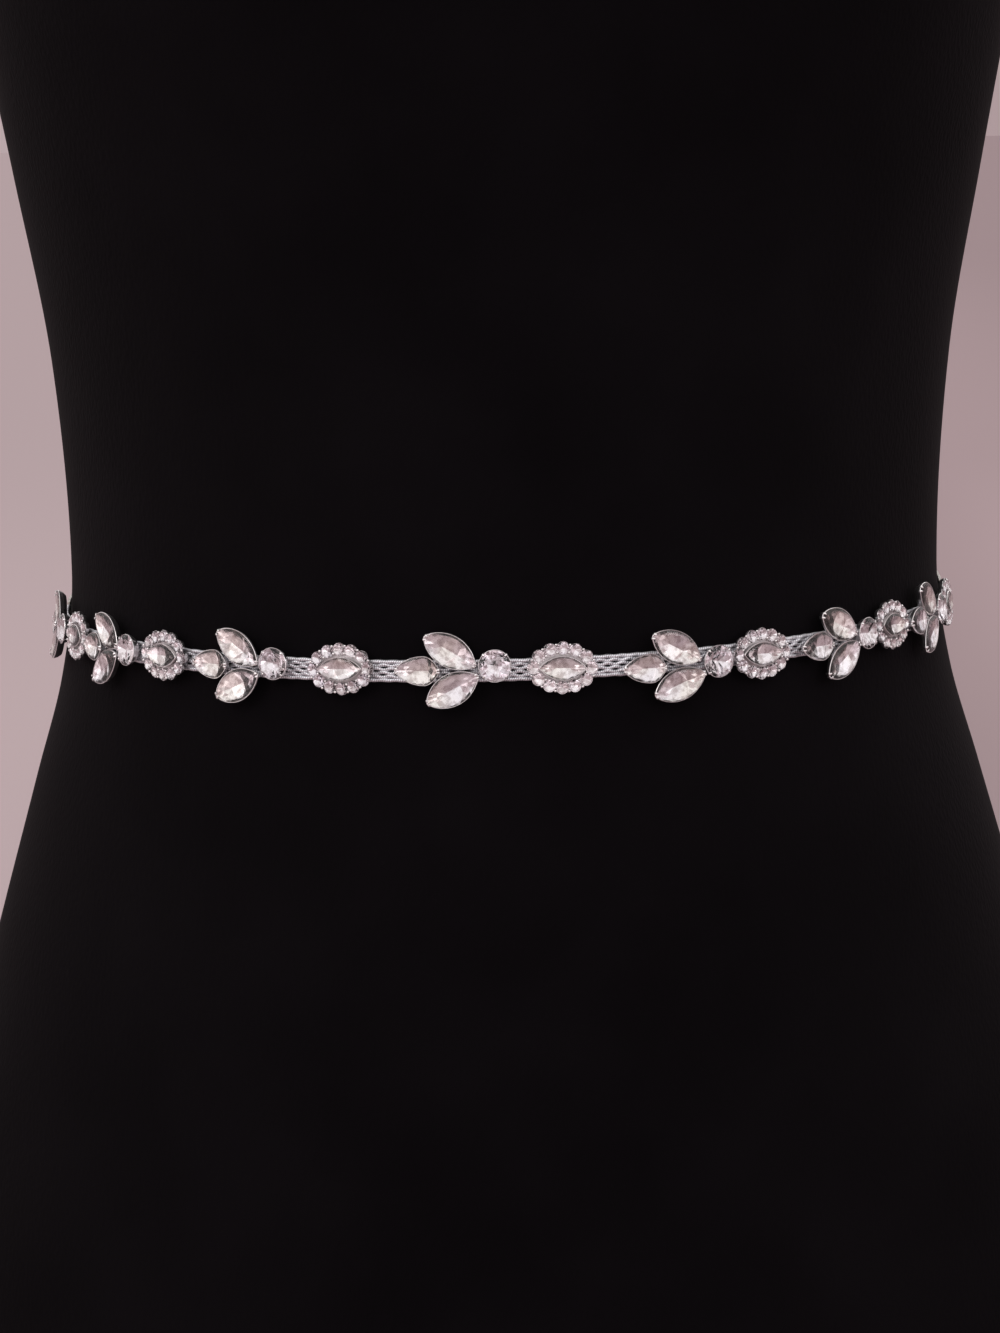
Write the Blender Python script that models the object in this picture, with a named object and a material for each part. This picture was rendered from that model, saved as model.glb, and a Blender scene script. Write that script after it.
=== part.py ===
"""Bridal sash on a dress form.

A slim belt of rhinestone sprays and rosettes is sewn on flat silver braid.
Satin ribbon carries it round the back, where it is tied in a plain knot with
two hanging ends.  The sash rests on the waist of a limbless dress form.
Units are metres, +Z is up, the front of the form faces -Y.
"""
import math

import bmesh
import bpy
from mathutils import Matrix, Vector

MM = 0.001

# ---------------------------------------------------------------- dress form
# One row for each height that shapes the torso, in millimetres: half the
# width, the depth in front of and behind the widest line, the roundness of
# the section (2 is an ellipse, more is squarer), and the number of rings up
# to the next row, which is closest where the waist is hollow.
FORM_ROWS = (
    # height, half_width, front, back, roundness, rings
    (0.0, 160.0, 122.0, 106.0, 2.0, 2),
    (40.0, 166.0, 126.0, 113.0, 2.0, 2),
    (88.0, 168.0, 128.5, 116.0, 2.0, 2),
    (138.0, 158.8, 129.5, 106.0, 2.0, 2),
    (189.0, 144.8, 129.5, 91.0, 2.0, 2),
    (233.0, 132.1, 128.5, 76.5, 2.0, 3),
    (261.0, 124.1, 128.0, 69.0, 2.0, 5),
    (290.0, 120.4, 128.0, 66.0, 2.0, 4),
    (348.0, 123.8, 129.5, 71.0, 2.0, 3),
    (398.0, 132.1, 134.0, 80.0, 2.05, 2),
    (432.0, 137.9, 140.5, 87.0, 2.15, 2),
    (464.0, 143.5, 144.5, 93.0, 2.25, 2),
    (490.0, 148.7, 141.0, 96.0, 2.3, 2),
    (520.0, 156.5, 130.0, 97.5, 2.35, 3),
    (562.0, 168.0, 108.5, 96.0, 2.35, 3),
    (596.0, 172.0, 88.0, 89.0, 2.3, 4),
    (618.0, 165.0, 75.0, 81.0, 2.2, 3),
    (632.0, 148.0, 68.0, 75.0, 2.1, 3),
    (650.0, 104.0, 61.0, 67.0, 2.0, 3),
    (668.0, 67.0, 56.0, 60.0, 2.0, 3),
    (694.0, 54.5, 53.0, 54.5, 2.0, 2),
    (742.0, 52.0, 51.0, 52.0, 2.0, 1),
)
FORM_SIDES = 40
FORM_EDGE_ROUND = 4.0
HIP_HEIGHT = 88.0

# ----------------------------------------------------------------- belt line
# Places along the belt are arc lengths in millimetres from the centre front,
# positive towards +X, measured through the middle of the stones.
# The belt leans a little: it runs higher round the +X side.
BELT_HEIGHT = 278.0
BELT_LEAN = 1.3
BELT_LINE = 3.3
BACK_CLEARANCE = 0.5

# --------------------------------------------------------------------- braid
BRAID_START = -196.0
BRAID_END = 192.0
BRAID_STEP = 5.0
# Section of the plait: how high on the belt, how far from the form.
BRAID_SECTION = (
    # rise, lift
    (-2.8, 0.5),
    (2.8, 0.5),
    (2.8, 1.2),
    (1.85, 1.7),
    (0.93, 1.35),
    (0.0, 1.7),
    (-0.93, 1.35),
    (-1.85, 1.7),
    (-2.8, 1.2),
)

# -------------------------------------------------------------------- stones
STONE_BASE = 2.2
# The sewn stones of the seven sprays, from -X to +X: the middle of each
# stone on the belt and the turn that carries its outer half away from +X.
SPRAY_ROWS = (
    # spray, stone, along, rise, turn
    (1, "round", -160.1, 0.5, 0.0),
    (1, "leaf_upper", -171.0, 4.75, 151.0),
    (1, "leaf_lower", -170.7, -4.9, 209.0),
    (1, "leaf_tail", -177.8, -0.1, 180.0),
    (2, "round", -113.0, 0.5, 0.0),
    (2, "leaf_upper", -124.05, 4.4, 153.0),
    (2, "leaf_lower", -123.7, -5.2, 212.0),
    (2, "leaf_tail", -130.5, -0.6, 180.0),
    (3, "round", -60.1, 1.3, 0.0),
    (3, "leaf_upper", -71.1, 4.8, 150.0),
    (3, "leaf_lower", -70.7, -4.9, 206.0),
    (3, "leaf_tail", -78.2, 0.0, 180.0),
    (4, "round", -2.7, 1.6, 0.0),
    (4, "leaf_upper", -13.7, 5.4, 150.0),
    (4, "leaf_lower", -13.1, -4.2, 209.0),
    (4, "leaf_tail", -20.2, 0.5, 180.0),
    (5, "round", 54.2, -0.7, 0.0),
    (5, "leaf_upper", 42.9, 3.7, 152.0),
    (5, "leaf_lower", 43.4, -5.6, 200.0),
    (5, "leaf_tail", 36.1, -1.0, 180.0),
    (6, "round", 105.3, 0.5, 0.0),
    (6, "leaf_upper", 93.9, 4.3, 155.0),
    (6, "leaf_lower", 94.7, -5.1, 210.0),
    (6, "leaf_tail", 87.1, -0.5, 180.0),
    (7, "round", 152.2, 0.5, 0.0),
    (7, "leaf_upper", 141.2, 4.8, 151.0),
    (7, "leaf_lower", 141.5, -4.9, 209.0),
    (7, "leaf_tail", 134.8, -0.2, 180.0),
)
LEAF_OUTER_HALF = 7.3
LEAF_INNER_HALF = 7.5
LEAF_HALF_WIDTH = 4.05
TAIL_INNER_HALF = 4.1
TAIL_HALF_WIDTH = 3.7
# How pointed the two ends are: 0.5 is a plain oval, 1.0 is needle sharp.
LEAF_OUTER_POINT = 0.72
NAVETTE_POINT = 0.85
NAVETTE_STEPS = 6
# Levels of a set stone from its base to its table, with the share of the
# outline that each level keeps.
LEAF_LEVELS = ((0.0, 0.84), (1.5, 1.0), (3.4, 0.52))
ROUND_RADIUS = 4.1
ROUND_SIDES = 12
ROUND_LEVELS = ((0.0, 0.82), (1.1, 1.0), (2.3, 1.0), (4.0, 0.6))

ROSETTE_ROWS = (
    # along, rise, turn
    (-146.9, 0.3, 0.0),
    (-97.7, 0.6, 0.0),
    (-41.7, 0.6, 3.0),
    (13.9, 0.4, -2.0),
    (67.5, -0.2, -2.0),
    (118.5, 1.0, -4.0),
    (165.5, 0.5, 0.0),
)
ROSETTE_BEADS = 12
ROSETTE_HALF_LENGTH = 7.2
ROSETTE_HALF_HEIGHT = 4.9
BEAD_RADIUS = 1.62
BEAD_HEIGHT = 2.3
BEAD_NECK = 0.55
STATIONS_PER_BEAD = 4
# The centre stone widens above the small ones, over their inner edges.
CENTRE_HALF_LENGTH = 5.9
CENTRE_HALF_WIDTH = 3.0
CENTRE_LEVELS = ((0.0, 0.83), (1.25, 0.86), (1.95, 1.0), (3.2, 0.5))

# ------------------------------------------------------------- ribbon at back
SEAM_GAP = 0.3
RIBBON_HALF_WIDTH = 6.0
RIBBON_WALL = 1.0
RIBBON_ACROSS = 5
RIBBON_STEPS = 20
# Along each tie from the braid to the knot: share of the length, share of
# the full width, and depth of the two lengthwise folds.
TIE_ROWS = (
    # share, width, fold
    (0.0, 0.56, 0.5),
    (0.10, 0.88, 0.25),
    (0.25, 1.0, 0.0),
    (0.72, 1.0, 0.0),
    (0.90, 0.86, 0.35),
    (1.0, 0.62, 0.8),
)
# The knot, across the centre back: place, half height and depth.
KNOT_ROWS = (
    # along, half_height, depth
    (-8.6, 3.9, 2.6),
    (-6.6, 6.0, 4.6),
    (-3.0, 7.2, 5.8),
    (0.6, 6.9, 5.4),
    (4.0, 7.1, 5.9),
    (6.8, 5.8, 4.4),
    (8.6, 3.9, 2.6),
)
KNOT_SIDES = 12
# The hanging ends: start and end across the back, drop below the belt, how
# much lower the outer corner of the slanted cut hangs, and sideways sway.
TAIL_ROWS = (
    # name, start, finish, drop, slant, sway
    ("tail_left", -3.4, -27.0, 232.0, 7.0, -2.5),
    ("tail_right", 3.4, 21.0, 216.0, 7.0, 2.0),
)
TAIL_TOP_DROP = 7.8
TAIL_STEPS = 22
TAIL_SPLAY = 0.8
# Under the knot an end is gathered to a share of its width in two folds, and
# it lies open after a share of its length.
TAIL_GATHER = 0.45
TAIL_FOLD = 1.2
TAIL_OPEN = 0.22

COLOURS = {
    # name: red, green, blue, roughness, metallic
    "black_jersey": (0.010, 0.009, 0.010, 0.90, 0.0),
    "silver_braid": (0.62, 0.60, 0.61, 0.38, 0.8),
    "crystal": (0.86, 0.82, 0.83, 0.08, 0.0),
    "silver_setting": (0.70, 0.68, 0.69, 0.22, 1.0),
    "satin": (0.80, 0.77, 0.74, 0.35, 0.0),
}


# ------------------------------------------------------------------ utilities
def clear_scene():
    """Remove everything that the start-up file holds."""
    for old in list(bpy.data.objects):
        bpy.data.objects.remove(old, do_unlink=True)


def make_collection(name):
    """Add a collection for the finished parts."""
    collection = bpy.data.collections.new(name)
    bpy.context.scene.collection.children.link(collection)
    return collection


def make_material(name):
    """A Principled material from the colour table."""
    red, green, blue, roughness, metallic = COLOURS[name]
    material = bpy.data.materials.new(name)
    material.use_nodes = True
    shader = material.node_tree.nodes["Principled BSDF"]
    shader.inputs["Base Color"].default_value = (red, green, blue, 1.0)
    shader.inputs["Roughness"].default_value = roughness
    shader.inputs["Metallic"].default_value = metallic
    return material


def smooth_rows(rows, column, place):
    """Read one column of a table at a place, on a smooth curve through it."""
    last = len(rows) - 1
    index = 0
    while index < last - 1 and place > rows[index + 1][0]:
        index += 1

    def slope(at):
        before = rows[max(at - 1, 0)]
        after = rows[min(at + 1, last)]
        return (after[column] - before[column]) / (after[0] - before[0])

    low, high = rows[index], rows[index + 1]
    span = high[0] - low[0]
    share = min(max((place - low[0]) / span, 0.0), 1.0)
    square, cube = share ** 2, share ** 3
    return (
        (2 * cube - 3 * square + 1) * low[column]
        + (cube - 2 * square + share) * span * slope(index)
        + (3 * square - 2 * cube) * high[column]
        + (cube - square) * span * slope(index + 1)
    )


def loft(name, sections, closed, material, place=Matrix()):
    """Skin a row of equal loops, given in millimetres, into one closed solid."""
    shape = bmesh.new()
    loops = []
    for section in sections:
        loops.append([shape.verts.new(Vector(point) * MM) for point in section])
    sides = len(loops[0])
    count = len(loops)
    for index in range(count if closed else count - 1):
        this_loop, next_loop = loops[index], loops[(index + 1) % count]
        for side in range(sides):
            following = (side + 1) % sides
            shape.faces.new(
                (this_loop[side], this_loop[following], next_loop[following], next_loop[side])
            )
    if not closed:
        shape.faces.new(loops[0])
        shape.faces.new(loops[-1])
    bmesh.ops.recalc_face_normals(shape, faces=shape.faces)
    mesh = bpy.data.meshes.new(name)
    shape.to_mesh(mesh)
    shape.free()
    mesh.materials.append(material)
    part = bpy.data.objects.new(name, mesh)
    part.matrix_world = place
    PARTS.objects.link(part)
    return part


# ----------------------------------------------------------- form and its skin
def form_size(height):
    """Half width, front depth, back depth and roundness at a height."""
    return [smooth_rows(FORM_ROWS, column, height) for column in (1, 2, 3, 4)]


def form_point(turn, height, shrink=0.0):
    """A point of the torso: turn 0 is the centre front, pi the centre back."""
    half_width, front, back, roundness = form_size(height)
    sine, cosine = math.sin(turn), math.cos(turn)
    power = 2.0 / roundness
    depth = front if cosine > 0.0 else back
    across = (half_width - shrink) * math.copysign(abs(sine) ** power, sine)
    forward = (depth - shrink) * math.copysign(abs(cosine) ** power, cosine)
    return Vector((across, -forward, height))


def form_frame(turn, height):
    """Point, along, up and outward directions of the torso's skin."""
    nudge = 0.002
    point = form_point(turn, height)
    along = form_point(turn + nudge, height) - form_point(turn - nudge, height)
    rise = form_point(turn, height + 1.0) - form_point(turn, height - 1.0)
    along.normalize()
    outward = along.cross(rise).normalized()
    return point, along, outward.cross(along), outward


def belt_height(turn):
    """Height of the belt's middle line at a turn of the form."""
    return BELT_HEIGHT + BELT_LEAN * math.sin(turn)


def measure_belt_line(samples=1440):
    """Arc length along the belt line for evenly stepped turns."""
    table = []
    length = 0.0
    before = None
    for index in range(samples + 1):
        turn = -math.pi + 2 * math.pi * index / samples
        point, _, _, outward = form_frame(turn, belt_height(turn))
        point = point + outward * BELT_LINE
        if before is not None:
            length += (point - before).length
        before = point
        table.append((turn, length))
    middle = table[samples // 2][1]
    return [(turn, reach - middle) for turn, reach in table]


def belt_turn(along):
    """Turn of the form at an arc length along the belt line."""
    low, high = 0, len(BELT_TABLE) - 1
    while high - low > 1:
        middle = (low + high) // 2
        if BELT_TABLE[middle][1] <= along:
            low = middle
        else:
            high = middle
    turn_low, reach_low = BELT_TABLE[low]
    turn_high, reach_high = BELT_TABLE[high]
    share = (along - reach_low) / (reach_high - reach_low)
    return turn_low + share * (turn_high - turn_low)


def belt_point(along, rise, lift):
    """A point near the belt: along it, above its line and out from the form."""
    turn = belt_turn(along)
    point, _, _, outward = form_frame(turn, belt_height(turn) + rise)
    return point + outward * lift


def belt_place(along, rise, lift, turn_degrees=0.0):
    """Matrix that seats a flat piece on the belt, in metres."""
    turn = belt_turn(along)
    point, right, up, outward = form_frame(turn, belt_height(turn) + rise)
    seat = Matrix((right, up, outward)).transposed().to_4x4()
    seat.translation = (point + outward * lift) * MM
    return seat @ Matrix.Rotation(math.radians(turn_degrees), 4, "Z")


def form_heights():
    """Heights of the rings between the rounded edges of foot and neck."""
    heights = []
    for low, high in zip(FORM_ROWS, FORM_ROWS[1:]):
        for ring in range(low[5]):
            heights.append(low[0] + (high[0] - low[0]) * ring / low[5])
    heights[0] = FORM_EDGE_ROUND
    heights.append(FORM_ROWS[-1][0] - FORM_EDGE_ROUND)
    return heights


def make_form(material):
    """The limbless torso, one smooth closed solid with a flat underside."""
    turns = [2 * math.pi * side / FORM_SIDES for side in range(FORM_SIDES)]
    foot, top = FORM_ROWS[0][0], FORM_ROWS[-1][0]
    sections = [[form_point(turn, foot, FORM_EDGE_ROUND) for turn in turns]]
    for height in form_heights():
        sections.append([form_point(turn, height) for turn in turns])
    sections.append([form_point(turn, top, FORM_EDGE_ROUND) for turn in turns])
    form = loft("dress_form", sections, False, material)
    form.data.shade_smooth()
    form.data.set_sharp_from_angle(angle=math.radians(40))


# ------------------------------------------------------------------ the belt
def make_braid(material):
    """The flat plait, three cords wide, that the stones are sewn on."""
    steps = round((BRAID_END - BRAID_START) / BRAID_STEP)
    sections = []
    for index in range(steps + 1):
        along = BRAID_START + (BRAID_END - BRAID_START) * index / steps
        sections.append([belt_point(along, rise, lift) for rise, lift in BRAID_SECTION])
    loft("braid", sections, False, material)


def navette_outline(outer_half, inner_half, half_width, outer_point):
    """Pointed oval: the outer half lies towards +X."""
    upper = []
    for index in range(NAVETTE_STEPS + 1):
        reach = math.cos(math.pi * index / NAVETTE_STEPS)
        half, power = inner_half, NAVETTE_POINT
        if reach > 0.0:
            half, power = outer_half, outer_point
        width = half_width * (1.0 - reach ** 2) ** power
        upper.append((reach * half, width))
    lower = [(reach, -width) for reach, width in reversed(upper[1:-1])]
    return upper + lower


def round_outline(radius, sides):
    """Regular outline of a round stone."""
    turns = [2 * math.pi * side / sides for side in range(sides)]
    return [(radius * math.cos(turn), radius * math.sin(turn)) for turn in turns]


def make_stone(name, outline, levels, place, material):
    """A stone in its setting: the outline narrowed from girdle to table."""
    sections = []
    for height, share in levels:
        sections.append([(share * across, share * up, height) for across, up in outline])
    loft(name, sections, False, material, place)


def make_spray_stone(number, stone, along, rise, turn, material):
    """A round stone, or one of the three navette leaves that point from it."""
    seat = belt_place(along, rise, STONE_BASE, turn)
    name = "spray_%d_%s" % (number, stone)
    if stone == "round":
        make_stone(name, round_outline(ROUND_RADIUS, ROUND_SIDES), ROUND_LEVELS, seat, material)
        return
    inner_half, half_width = LEAF_INNER_HALF, LEAF_HALF_WIDTH
    if stone == "leaf_tail":
        inner_half, half_width = TAIL_INNER_HALF, TAIL_HALF_WIDTH
    outline = navette_outline(LEAF_OUTER_HALF, inner_half, half_width, LEAF_OUTER_POINT)
    make_stone(name, outline, LEAF_LEVELS, seat, material)


def oval_stations(count, half_length, half_height, samples=720):
    """Evenly spaced points round an oval with their outward directions."""
    path = []
    length = 0.0
    before = None
    for index in range(samples + 1):
        turn = 2 * math.pi * index / samples
        point = Vector((half_length * math.sin(turn), half_height * math.cos(turn)))
        if before is not None:
            length += (point - before).length
        before = point
        path.append((length, turn))
    stations = []
    cursor = 0
    for station in range(count):
        target = length * station / count
        while path[cursor + 1][0] < target:
            cursor += 1
        turn = path[cursor][1]
        point = Vector((half_length * math.sin(turn), half_height * math.cos(turn)))
        outward = Vector((half_height * math.sin(turn), half_length * math.cos(turn)))
        stations.append((point, outward.normalized()))
    return stations


def make_rosette(number, along, rise, turn, material):
    """A ring of twelve small stones, fused side by side, round a navette."""
    count = ROSETTE_BEADS * STATIONS_PER_BEAD
    sections = []
    for index, (middle, outward) in enumerate(
        oval_stations(count, ROSETTE_HALF_LENGTH, ROSETTE_HALF_HEIGHT)
    ):
        off_centre = (index % STATIONS_PER_BEAD) / STATIONS_PER_BEAD
        swell = abs(math.cos(math.pi * off_centre)) ** 0.6
        share = BEAD_NECK + (1.0 - BEAD_NECK) * swell
        half = BEAD_RADIUS * share
        height = BEAD_HEIGHT * (0.7 + 0.3 * swell)
        profile = ((-half, 0.0), (-half, 0.55 * height), (0.0, height), (half, 0.55 * height), (half, 0.0))
        sections.append(
            [(*(middle + outward * across), up) for across, up in profile]
        )
    seat = belt_place(along, rise, STONE_BASE, turn)
    loft("rosette_%d_ring" % number, sections, True, material, seat)
    outline = navette_outline(
        CENTRE_HALF_LENGTH, CENTRE_HALF_LENGTH, CENTRE_HALF_WIDTH, NAVETTE_POINT
    )
    make_stone("rosette_%d_centre" % number, outline, CENTRE_LEVELS, seat, material)


# --------------------------------------------------------- ribbon at the back
def make_tie(name, start, finish, material):
    """Ribbon from one end of the braid round to the knot."""
    sections = []
    for index in range(RIBBON_STEPS + 1):
        share = index / RIBBON_STEPS
        along = start + (finish - start) * share
        half = RIBBON_HALF_WIDTH * smooth_rows(TIE_ROWS, 1, share)
        fold = smooth_rows(TIE_ROWS, 2, share)
        outer, inner = [], []
        for across in range(RIBBON_ACROSS):
            reach = 2.0 * across / (RIBBON_ACROSS - 1) - 1.0
            lift = BACK_CLEARANCE + fold * (0.5 - 0.5 * math.cos(2 * math.pi * reach))
            inner.append(belt_point(along, reach * half, lift))
            outer.append(belt_point(along, reach * half, lift + RIBBON_WALL))
        sections.append(inner + outer[::-1])
    loft(name, sections, False, material)


def make_knot(half_length, material):
    """The plain knot, flat towards the form and rounded outside."""
    sections = []
    for along, half_height, depth in KNOT_ROWS:
        loop = []
        for side in range(KNOT_SIDES):
            turn = 2 * math.pi * side / KNOT_SIDES
            lift = BACK_CLEARANCE + 0.5 * depth * (1.0 - math.cos(turn))
            loop.append(belt_point(half_length + along, half_height * math.sin(turn), lift))
        sections.append(loop)
    loft("knot", sections, False, material)


def hang_point(across, height, lift):
    """A point of cloth hanging on the back: plumb below the hips."""
    rest_height = max(height, HIP_HEIGHT)

    def depth(at_across, at_height):
        half_width, _, back, roundness = form_size(at_height)
        share = abs(at_across / half_width) ** roundness
        return back * (1.0 - share) ** (1.0 / roundness)

    middle = depth(across, rest_height)
    slope_across = (depth(across + 1.0, rest_height) - depth(across - 1.0, rest_height)) / 2.0
    slope_up = 0.0
    if height > HIP_HEIGHT:
        slope_up = (depth(across, height + 1.0) - depth(across, height - 1.0)) / 2.0
    outward = Vector((-slope_across, 1.0, -slope_up)).normalized()
    return Vector((across, middle, height)) + outward * lift


def opened(share):
    """How far a hanging end has opened: 0 at the knot, 1 where it lies flat."""
    reach = min(share / TAIL_OPEN, 1.0)
    return reach ** 2 * (3.0 - 2.0 * reach)


def make_tail(name, start, finish, drop, slant, sway, material):
    """One free end of the ribbon, from the knot down the back of the form."""
    sections = []
    outer_side = math.copysign(1.0, finish)
    for index in range(TAIL_STEPS + 1):
        share = index / TAIL_STEPS
        middle = start + (finish - start) * share ** TAIL_SPLAY
        middle += sway * math.sin(2 * math.pi * share)
        half = RIBBON_HALF_WIDTH * (TAIL_GATHER + (1.0 - TAIL_GATHER) * opened(share))
        fold = TAIL_FOLD * (1.0 - opened(share))
        outer, inner = [], []
        for across in range(RIBBON_ACROSS):
            reach = 2.0 * across / (RIBBON_ACROSS - 1) - 1.0
            lower = slant * reach * outer_side * share ** 4
            down = TAIL_TOP_DROP + (drop - TAIL_TOP_DROP) * share + lower
            place = (middle + half * reach, BELT_HEIGHT - down)
            lift = BACK_CLEARANCE + fold * (0.5 - 0.5 * math.cos(2 * math.pi * reach))
            inner.append(hang_point(*place, lift))
            outer.append(hang_point(*place, lift + RIBBON_WALL))
        sections.append(inner + outer[::-1])
    loft(name, sections, False, material)


def stand_on_origin(name):
    """Carry every part by one empty, with the box's foot centred on the origin."""
    bpy.context.view_layer.update()
    corners = []
    for part in PARTS.objects:
        corners += [part.matrix_world @ Vector(corner) for corner in part.bound_box]
    carrier = bpy.data.objects.new(name, None)
    PARTS.objects.link(carrier)
    for part in PARTS.objects:
        if part is not carrier:
            part.parent = carrier
    for axis in (0, 1):
        reaches = [corner[axis] for corner in corners]
        carrier.location[axis] = -0.5 * (min(reaches) + max(reaches))


clear_scene()
PARTS = make_collection("bridal_sash")
BELT_TABLE = measure_belt_line()
HALF_WAIST = BELT_TABLE[-1][1]

jersey = make_material("black_jersey")
plait = make_material("silver_braid")
crystal = make_material("crystal")
setting = make_material("silver_setting")
satin = make_material("satin")

make_form(jersey)
make_braid(plait)
for row in SPRAY_ROWS:
    make_spray_stone(*row, crystal)
for number, row in enumerate(ROSETTE_ROWS, 1):
    make_rosette(number, *row, setting)

knot_side = HALF_WAIST + KNOT_ROWS[0][0] - SEAM_GAP
make_tie("ribbon_right", BRAID_END + SEAM_GAP, knot_side, satin)
make_tie("ribbon_left", BRAID_START - SEAM_GAP, -knot_side, satin)
make_knot(HALF_WAIST, satin)
for row in TAIL_ROWS:
    make_tail(*row, satin)
stand_on_origin("sash_on_form")
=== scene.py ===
import bisect
import bmesh
import bpy
from math import atan, atan2, copysign, cos, exp, pi, radians, sin, tau
from mathutils import Matrix, Vector


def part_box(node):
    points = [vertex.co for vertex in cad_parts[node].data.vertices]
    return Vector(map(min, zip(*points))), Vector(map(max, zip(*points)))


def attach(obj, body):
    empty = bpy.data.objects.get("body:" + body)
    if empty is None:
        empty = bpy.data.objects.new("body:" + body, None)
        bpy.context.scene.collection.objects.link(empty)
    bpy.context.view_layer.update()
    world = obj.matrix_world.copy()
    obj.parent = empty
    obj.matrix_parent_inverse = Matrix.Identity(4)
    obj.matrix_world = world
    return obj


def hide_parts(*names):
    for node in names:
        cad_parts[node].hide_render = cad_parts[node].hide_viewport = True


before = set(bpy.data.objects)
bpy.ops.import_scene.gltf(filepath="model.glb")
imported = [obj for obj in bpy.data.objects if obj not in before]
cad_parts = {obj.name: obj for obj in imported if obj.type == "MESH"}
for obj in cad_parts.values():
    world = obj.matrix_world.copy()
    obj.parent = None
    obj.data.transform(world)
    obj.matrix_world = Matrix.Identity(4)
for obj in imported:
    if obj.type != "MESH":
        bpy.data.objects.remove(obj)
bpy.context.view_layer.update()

# ---- the studio
# The sash is seen from a metre away, a little from above, in front of a pale
# floor with painted shade towards +X, that runs out to a room of its own colour.
# Soft boxes stand at the left, the right and the back, and low cards gleam in
# the stones.
scene = bpy.context.scene
MM = 0.001
BELT_HEIGHT = 278.0
BUST_DEPTH = 144.5
FORM_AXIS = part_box("dress_form")[0][1] / MM + BUST_DEPTH
FRAME_WIDTH, FRAME_HEIGHT = 1000, 1333
SENSOR = 36.0
VIEW_DISTANCE = 1.0
VIEW_ELEVATION = radians(7.67)
VIEW_ROLL = radians(-1.0)
FOCAL_PIXELS = 3556.0
BELT_CENTRE_PIXEL = (505.96, 600.0)
NEAR_CLIP, FAR_CLIP = 0.01, 200.0


def point_camera():
    """A camera that sees the belt's centre at its pixel."""
    optics = bpy.data.cameras.new("camera")
    optics.sensor_width = SENSOR
    optics.lens = FOCAL_PIXELS * SENSOR / FRAME_HEIGHT
    optics.clip_start = NEAR_CLIP
    optics.clip_end = FAR_CLIP
    camera = bpy.data.objects.new("camera", optics)
    scene.collection.objects.link(camera)
    scene.camera = camera
    centre = Vector((0.0, FORM_AXIS * MM, BELT_HEIGHT * MM))
    away = Vector((0.0, -cos(VIEW_ELEVATION), sin(VIEW_ELEVATION)))
    right_shift = (BELT_CENTRE_PIXEL[0] - FRAME_WIDTH / 2) / FOCAL_PIXELS
    up_shift = (FRAME_HEIGHT / 2 - BELT_CENTRE_PIXEL[1]) / FOCAL_PIXELS
    pitch = pi / 2 - VIEW_ELEVATION - atan(up_shift)
    turn = Matrix.Rotation(atan(right_shift), 4, "Z")
    tilt = Matrix.Rotation(pitch, 4, "X")
    roll = Matrix.Rotation(VIEW_ROLL, 4, "Z")
    camera.matrix_world = Matrix.Translation(centre + away * VIEW_DISTANCE) @ turn @ tilt @ roll


def soft_box(name, place, size, power, tint, lights=("matt", "gloss", "glass")):
    """A rectangular studio light that faces the belt and lights the kinds of surface named."""
    lamp = bpy.data.lights.new(name, "AREA")
    lamp.shape = "RECTANGLE"
    lamp.size, lamp.size_y = size
    lamp.energy = power
    lamp.color = tint
    box = bpy.data.objects.new(name, lamp)
    box.location = place
    aim = Vector((0.0, 0.0, BELT_HEIGHT * MM))
    box.rotation_euler = (aim - Vector(place)).to_track_quat("-Z", "Y").to_euler()
    box.visible_camera = False
    box.visible_diffuse = "matt" in lights
    box.visible_glossy = "gloss" in lights
    box.visible_transmission = "glass" in lights
    scene.collection.objects.link(box)
    return box


def new_material(name, colour, roughness, metallic=0.0):
    """A Principled material; returns it with its node tree and its shader."""
    material = bpy.data.materials.new(name)
    material.use_nodes = True
    tree = material.node_tree
    shader = tree.nodes["Principled BSDF"]
    set_inputs(tree, shader, {"Base Color": (*colour, 1.0), "Roughness": roughness, "Metallic": metallic})
    return material, tree, shader


def set_inputs(tree, node, inputs):
    """Give each named input of a node its value, or a link from another node's output."""
    for name, value in inputs.items():
        if isinstance(value, bpy.types.NodeSocket):
            tree.links.new(value, node.inputs[name])
        else:
            node.inputs[name].default_value = value


def add_node(tree, kind, inputs=None):
    """A new shader node with its inputs set."""
    node = tree.nodes.new("ShaderNode" + kind)
    set_inputs(tree, node, inputs or {})
    return node


def ramp_colour(tree, factor, *stops, easing="LINEAR"):
    """The colour that a ramp gives over a factor; a stop is its place, red, green and blue."""
    ramp = add_node(tree, "ValToRGB", {"Fac": factor})
    ramp.color_ramp.interpolation = easing
    elements = ramp.color_ramp.elements
    elements[0].position = stops[0][0]
    elements[1].position = stops[-1][0]
    for place, *_ in stops[1:-1]:
        elements.new(place)
    for element, (_, *colour) in zip(elements, stops):
        element.color = (*colour, 1.0)
    return ramp.outputs["Color"]


def mix_colours(tree, factor, first, second, way="MIX"):
    """The colour that two colours make together."""
    mix = add_node(tree, "Mix")
    mix.data_type = "RGBA"
    mix.blend_type = way
    set_inputs(tree, mix, {"Factor": factor, "A": first, "B": second})
    return mix.outputs["Result"]


def relief(tree, height, strength, depth):
    """The normal that a fine relief gives to a surface; its depth is in metres."""
    bump = add_node(tree, "Bump", {"Height": height, "Strength": strength, "Distance": depth})
    return bump.outputs["Normal"]


def share_along(tree, place, axis, reach, easing="LINEAR"):
    """How far a place lies along an axis between the two ends of a reach, from 0 to 1."""
    parts = add_node(tree, "SeparateXYZ", {"Vector": place})
    share = {"Value": parts.outputs[axis], "From Min": reach[0], "From Max": reach[1]}
    spread = add_node(tree, "MapRange", share)
    spread.interpolation_type = easing
    return spread.outputs["Result"]


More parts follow.
